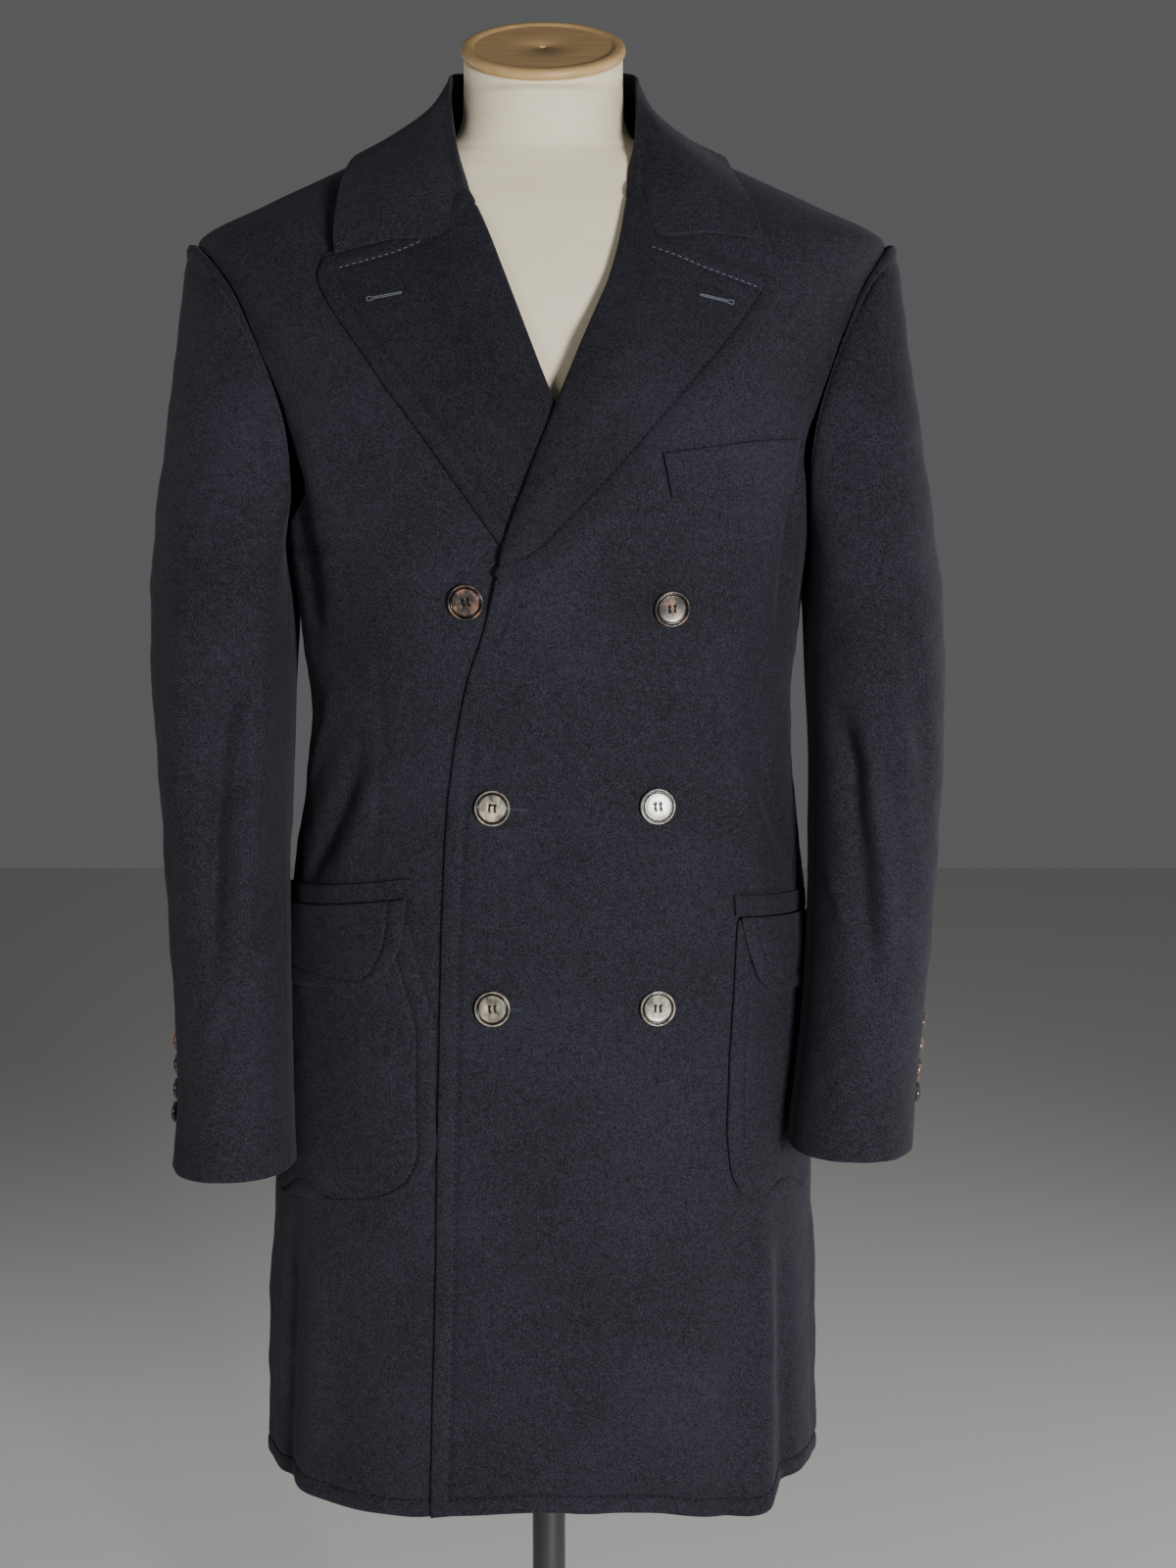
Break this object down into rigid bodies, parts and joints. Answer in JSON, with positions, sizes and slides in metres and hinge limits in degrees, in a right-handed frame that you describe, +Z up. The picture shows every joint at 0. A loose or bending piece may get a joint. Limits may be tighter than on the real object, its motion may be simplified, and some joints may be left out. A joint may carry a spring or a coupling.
{
  "type": "double-breasted wool overcoat on a limbless dress form",
  "caption": "Knee-length double-breasted wool overcoat with wide lapels, flapped patch pockets and horn buttons, buttoned on a limbless dress form.",
  "frame": {"origin": "centre of the stand's foot, on the floor", "axes": "+Z up, -Y out of the coat's front, +X toward the wearer's left"},
  "size_m": [0.568, 0.37, 1.5812],
  "materials": {
    "wool": "brushed navy wool coating, matt, with a soft nap",
    "horn": "dark brown polished horn with a paler rim",
    "linen": "natural linen, stretched smooth",
    "cap": "plain wood, paper-bound rim",
    "stand": "satin black paint"
  },
  "bodies": {
    "root": {"back_left": "wool", "back_right": "wool", "base": "stand", "breast_welt": "wool", "button_bottom_left": "horn", "button_bottom_right": "horn", "button_middle_left": "horn", "button_middle_right": "horn", "button_top_left": "horn", "button_top_right": "horn", "collar": "wool", "form_torso": "linen", "left_front": "wool", "left_lapel": "wool", "left_pocket": "wool", "left_pocket_flap": "wool", "left_pocket_strap": "wool", "neck_cap": "cap", "pole": "stand", "right_front": "wool", "right_lapel": "wool", "right_pocket": "wool", "right_pocket_flap": "wool", "right_pocket_strap": "wool", "sleeve_button_left_1": "horn", "sleeve_button_left_2": "horn", "sleeve_button_left_3": "horn", "sleeve_button_left_4": "horn", "sleeve_button_right_1": "horn", "sleeve_button_right_2": "horn", "sleeve_button_right_3": "horn", "sleeve_button_right_4": "horn", "sleeve_left_top": "wool", "sleeve_left_under": "wool", "sleeve_right_top": "wool", "sleeve_right_under": "wool"}
  },
  "joints": []
}
